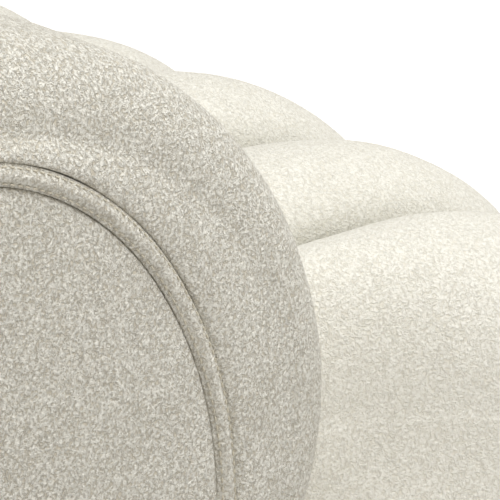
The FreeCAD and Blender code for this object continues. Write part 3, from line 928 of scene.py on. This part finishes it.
def curl_group():
    """Looped yarn: worm-like curls over dark pits, with a slow change of tone, and painted shade
    darkening the creases between channels.
    """
    inputs = (("Curl Scale", "Float", CURL_SCALE), ("Yarn", "Color", srgb(*YARN)),
              ("Pit", "Color", srgb(*ARM_PIT)))
    tree, given, result, place = pattern_group("yarn_curls", inputs)
    scale = given["Curl Scale"]
    worms = []
    for shift in CURL_SHIFTS:
        moved = tree.nodes.new("ShaderNodeMapping")
        moved.inputs["Location"].default_value = (shift, shift * 0.5, shift * 0.3)
        tree.links.new(place, moved.inputs["Vector"])
        field = noise_of(tree, moved.outputs["Vector"], scale, 1.0, CURL_WARP)
        away = maths(tree, "ABSOLUTE", maths(tree, "SUBTRACT", field, 0.5))
        worms.append(maths(tree, "SUBTRACT", 1.0, maths(tree, "MULTIPLY", away, CURL_SHARP), True))
    worm = maths(tree, "MAXIMUM", worms[0], worms[1])
    cells = tree.nodes.new("ShaderNodeTexVoronoi")
    cells.feature = "SMOOTH_F1"
    cells.inputs["Smoothness"].default_value = 0.5
    tree.links.new(place, cells.inputs["Vector"])
    tree.links.new(maths(tree, "MULTIPLY", scale, NUB_SCALE), cells.inputs["Scale"])
    nub = ramp(tree, cells.outputs["Distance"], *NUB_RANGE)
    height = maths(tree, "ADD", maths(tree, "MULTIPLY", worm, CURL_SHARE),
                   maths(tree, "MULTIPLY", nub, 1.0 - CURL_SHARE))
    slow = maths(tree, "MULTIPLY", noise_of(tree, place, TINT_SCALE, 3.0), TINT_SHARE)
    shade = mixed(tree, ramp(tree, height, *YARN_RANGE), given["Pit"], given["Yarn"])
    # Painted shade: the colour is darkened towards a shade colour by the crease weight kept on the mesh
    crease_shade = tree.nodes.new("ShaderNodeAttribute")
    crease_shade.attribute_name = "crease_shade"
    deep = maths(tree, "MULTIPLY", crease_shade.outputs["Fac"], CREASE_SHADE_STRENGTH)
    tinted = mixed(tree, slow, shade, srgb(*YARN_TINT))
    tree.links.new(mixed(tree, deep, tinted, srgb(*CREASE_SHADE_COLOUR)), result["Color"])
    tree.links.new(height, result["Height"])
    return tree


def grain_group():
    """Long grain along one axis with pores and slow bands."""
    inputs = (("Grain Size", "Vector", (60.0, 60.0, 4.0)), ("Light", "Color", srgb(200, 166, 120)),
              ("Dark", "Color", srgb(150, 112, 72)))
    tree, given, result, place = pattern_group("timber_grain", inputs)
    moved = tree.nodes.new("ShaderNodeMapping")
    tree.links.new(place, moved.inputs["Vector"])
    tree.links.new(given["Grain Size"], moved.inputs["Scale"])
    bands = noise_of(tree, moved.outputs["Vector"], 1.0, 4.0, 0.8)
    fibre = noise_of(tree, moved.outputs["Vector"], 9.0, 3.0)
    share = maths(tree, "ADD", maths(tree, "MULTIPLY", bands, 0.7), maths(tree, "MULTIPLY", fibre, 0.3))
    colour = mixed(tree, ramp(tree, share, 0.35, 0.68), given["Light"], given["Dark"])
    tree.links.new(colour, result["Color"])
    tree.links.new(fibre, result["Height"])
    return tree


def weave_group():
    """Plain weave of crossing yarns, with a fibre noise."""
    inputs = (("Yarns", "Float", 700.0), ("Light", "Color", (0.1, 0.1, 0.1, 1.0)),
              ("Dark", "Color", (0.0, 0.0, 0.0, 1.0)))
    tree, given, result, place = pattern_group("plain_weave", inputs)
    split = tree.nodes.new("ShaderNodeSeparateXYZ")
    tree.links.new(place, split.inputs["Vector"])
    waves = []
    for axis in ("X", "Y", "Z"):
        waves.append(maths(tree, "SINE", maths(tree, "MULTIPLY", split.outputs[axis], given["Yarns"])))
    crossing = maths(tree, "MULTIPLY", waves[0], maths(tree, "ADD", waves[1], waves[2]))
    fuzz = noise_of(tree, place, 300.0, 2.0)
    share = maths(tree, "ADD", maths(tree, "MULTIPLY", crossing, 0.25), fuzz)
    colour = mixed(tree, ramp(tree, share, 0.1, 0.9), given["Dark"], given["Light"])
    tree.links.new(colour, result["Color"])
    tree.links.new(share, result["Height"])
    return tree


def material(name, rough, **sockets):
    """Empty Principled material with its own sockets set."""
    made = bpy.data.materials.new(name)
    made.use_nodes = True
    shader = made.node_tree.nodes["Principled BSDF"]
    shader.inputs["Roughness"].default_value = rough
    for label, value in sockets.items():
        shader.inputs[label.replace("_", " ")].default_value = value
    return made, made.node_tree, shader


def bumped(tree, shader, height, depth, strength):
    bump = tree.nodes.new("ShaderNodeBump")
    bump.inputs["Strength"].default_value = strength
    bump.inputs["Distance"].default_value = depth
    tree.links.new(height, bump.inputs["Height"])
    tree.links.new(bump.outputs["Normal"], shader.inputs["Normal"])


def patterned(name, pattern, values, rough, depth, strength, **sockets):
    """Material whose colour and relief come from a pattern with its own values."""
    made, tree, shader = material(name, rough, **sockets)
    group = tree.nodes.new("ShaderNodeGroup")
    group.node_tree = pattern
    for label, value in values.items():
        group.inputs[label].default_value = value
    tree.links.new(group.outputs["Color"], shader.inputs["Base Color"])
    bumped(tree, shader, group.outputs["Height"], depth, strength)
    return made


def boucle_cloth(name, pit, scale, relief):
    values = {"Curl Scale": scale, "Yarn": srgb(*YARN), "Pit": srgb(*pit)}
    return patterned(name, curls, values, 0.95, relief, 1.0,
                     Specular_IOR_Level=0.15, Sheen_Weight=0.12, Sheen_Roughness=0.6)


def wood(name, size, light, dark, rough, coat=0.0):
    values = {"Grain Size": size, "Light": srgb(*light), "Dark": srgb(*dark)}
    return patterned(name, grain, values, rough, 0.0003, 0.5, Coat_Weight=coat, Coat_Roughness=0.3)


def woven(name, yarns, light, dark):
    values = {"Yarns": yarns, "Light": srgb(*light), "Dark": srgb(*dark)}
    return patterned(name, weave, values, 0.85, 0.0004, 0.6, Specular_IOR_Level=0.25)


def speckled(name, rough, light, dark, scale, metallic=0.0):
    """Moulded, plated or foamed finish with fine clouds of shade and wear."""
    made, tree, shader = material(name, rough, Metallic=metallic)
    place = tree.nodes.new("ShaderNodeTexCoord").outputs["Object"]
    clouds = ramp(tree, noise_of(tree, place, scale, 4.0), 0.3, 0.7)
    tree.links.new(mixed(tree, clouds, srgb(*dark), srgb(*light)), shader.inputs["Base Color"])
    fine = noise_of(tree, place, scale * 6, 2.0)
    spread = maths(tree, "ADD", maths(tree, "MULTIPLY", fine, 0.2), rough - 0.1)
    tree.links.new(spread, shader.inputs["Roughness"])
    bumped(tree, shader, fine, 0.0002, 0.4)
    return made


curls = curl_group()
grain = grain_group()
weave = weave_group()
sewing_thread = speckled("sewing_thread", 0.7, (226, 220, 202), (198, 190, 170), 900.0)
finishes = {
    "boucle": boucle_cloth("cream_boucle", ARM_PIT, CURL_SCALE, ARM_RELIEF),
    # Lit copy of the cream bouclé, with painted lighter pits for the brightly lit seat
    "lit_seat": boucle_cloth("seat_boucle_lit", SEAT_LIT_PIT, CURL_SCALE, SEAT_RELIEF),
    "welt_cloth": boucle_cloth("welt_boucle", ARM_PIT, CURL_SCALE * WELT_SCALE, WELT_RELIEF),
    "foam": speckled("seat_foam_finish", 0.9, (240, 232, 196), (226, 214, 170), 160.0),
    "dust_cloth": woven("dust_cloth_finish", 2600.0, (62, 62, 64), (30, 30, 32)),
    "webbing": woven("webbing_finish", 1500.0, (176, 140, 96), (104, 76, 48)),
    "timber": wood("frame_timber", (6.0, 60.0, 60.0), (212, 182, 138), (176, 138, 94), 0.65),
    "plywood": wood("arm_plywood", (60.0, 9.0, 60.0), (216, 188, 148), (184, 150, 108), 0.6),
    "foot_wood": wood("foot_walnut", (70.0, 70.0, 7.0), (112, 74, 48), (62, 38, 24), 0.38, 0.4),
    "steel": speckled("zinc_steel", 0.35, (196, 198, 202), (150, 152, 158), 220.0, 1.0),
    "glide": speckled("glide_plastic", 0.5, (70, 66, 60), (44, 42, 40), 300.0),
}


# Pieces

def dressed(piece, slot, node, finish=None):
    """Give a piece its finish and its body, and hide the frame's node in its place."""
    piece.data.materials.clear()
    piece.data.materials.append(finishes[finish or slot])
    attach(piece, "root")
    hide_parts(node)


def sewn(name, outer, place):
    """Stitches of a welt, which ride with it."""
    seam = stitched(name, outer, place, stitches)
    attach(seam, "root")


stitches = stitch_tree(sewing_thread)
back_loop = back_outline(*back_panel_bounds(0.0), PANEL_HEEL)
arm_welt_loop = arm_panel_loop(0.0)
dressed(channel_row("seat_channel_cover", seat_outline), "boucle", "seat_channels", finish="lit_seat")
dressed(channel_row("back_channel_cover", back_channel_outline), "boucle", "back_channels")
dressed(back_cover("back_plate_cover"), "boucle", "back_outside_cover")
dressed(back_panel("back_panel_cover"), "boucle", "back_outside_panel")
dressed(welt_mesh("back_welt_band", back_loop, back_place), "welt_cloth", "back_welt")
dressed(base_border("border_cover"), "boucle", "base_border")
for side, word in ((-1, "left"), (1, "right")):
    place = arm_place(side)
    dressed(arm_cover(side, word + "_arm_padding"), "boucle", word + "_arm_cover")
    dressed(arm_panel(side, word + "_panel_padding"), "boucle", word + "_arm_outside_panel")
    band = welt_mesh(word + "_welt_band", arm_welt_loop, place)
    dressed(band, "welt_cloth", word + "_arm_welt")
    dressed(seat_end(side, word + "_end_channel"), "boucle", word + "_seat_end", finish="lit_seat")
    sewn(word + "_welt_stitches", arm_welt_loop, place)
sewn("back_welt_stitches", back_loop, back_place)

# The frame's own pieces keep their shapes and get their finishes
node_finishes = {
    "timber": ("back_posts", "back_rail", "back_top_rail", "centre_rails", "corner_blocks",
               "foot_blocks", "front_rail", "left_arm_spacers", "left_side_rail",
               "right_arm_spacers", "right_side_rail"),
    "plywood": ("left_arm_boards", "right_arm_boards"),
    "steel": ("arm_bolts", "foot_plates", "foot_screws", "foot_studs"),
    "webbing": ("back_webbing", "cross_webbing", "seat_webbing"),
    "foam": ("seat_foam",),
    "dust_cloth": ("dust_cover",),
    "foot_wood": ("feet",),
    "glide": ("foot_glides",),
}
for finish, nodes in node_finishes.items():
    for node in nodes:
        mesh = bpy.data.objects[node].data
        mesh.materials.clear()
        mesh.materials.append(finishes[finish])


# Floor, light and camera

def flat_sheet(name, half, z):
    mesh = bpy.data.meshes.new(name)
    corners = [(-half, -half, z), (half, -half, z), (half, half, z), (-half, half, z)]
    mesh.from_pydata(corners, [], [(0, 1, 2, 3)])
    return linked(name, mesh)


def seen_rays(tree):
    """1 for the rays that show a background: straight, mirrored and through glass."""
    path = tree.nodes.new("ShaderNodeLightPath")
    behind = maths(tree, "MAXIMUM", path.outputs["Is Glossy Ray"], path.outputs["Is Transmission Ray"])
    return maths(tree, "MAXIMUM", path.outputs["Is Camera Ray"], behind)


def lamp(name, place, aim, width, watts, tint):
    light = bpy.data.lights.new(name, "AREA")
    light.shape = "SQUARE"
    light.size = width
    light.energy = watts
    light.color = tint
    holder = linked(name, light)
    holder.location = place
    holder.rotation_euler = (Vector(aim) - Vector(place)).to_track_quat("-Z", "Y").to_euler()


floor = flat_sheet("studio_floor", FLOOR_HALF, FLOOR_Z)
floor_finish, floor_tree, floor_shader = material("pale_floor", 0.9, Specular_IOR_Level=0.1)
floor_shader.inputs["Base Color"].default_value = FLOOR_COLOUR
floor_shader.inputs["Emission Color"].default_value = WHITE
floor_glow = maths(floor_tree, "MULTIPLY", seen_rays(floor_tree), FLOOR_GLOW)
floor_tree.links.new(floor_glow, floor_shader.inputs["Emission Strength"])
floor.data.materials.append(floor_finish)

world = bpy.data.worlds.new("studio")
bpy.context.scene.world = world
world.use_nodes = True
sky_tree = world.node_tree
sky = sky_tree.nodes["Background"]
sky_seen = seen_rays(sky_tree)
sky_tree.links.new(mixed(sky_tree, sky_seen, SKY_TINT, WHITE), sky.inputs["Color"])
sky_glow = maths(sky_tree, "ADD", maths(sky_tree, "MULTIPLY", sky_seen, 1.0 - AMBIENT), AMBIENT)
sky_tree.links.new(sky_glow, sky.inputs["Strength"])

lamp("side_fill", FILL_PLACE, FILL_AIM, FILL_WIDTH, FILL_WATTS, FILL_TINT)
lamp("soft_overhead", LAMP_PLACE, LAMP_AIM, LAMP_WIDTH, LAMP_WATTS, LAMP_TINT)

level = math.cos(CAMERA_TILT)
away = Vector((-math.cos(CAMERA_TURN) * level, math.sin(CAMERA_TURN) * level, math.sin(CAMERA_TILT)))
camera_data = bpy.data.cameras.new("camera")
camera_data.lens = LENS
camera_data.sensor_width = SENSOR
camera_data.clip_start = CLIP_NEAR
camera_data.clip_end = CLIP_FAR
camera = linked("camera", camera_data)
camera.location = CAMERA_PLACE
camera.rotation_euler = away.to_track_quat("Z", "Y").to_euler()
bpy.context.scene.camera = camera
bpy.context.scene.view_settings.view_transform = "Standard"
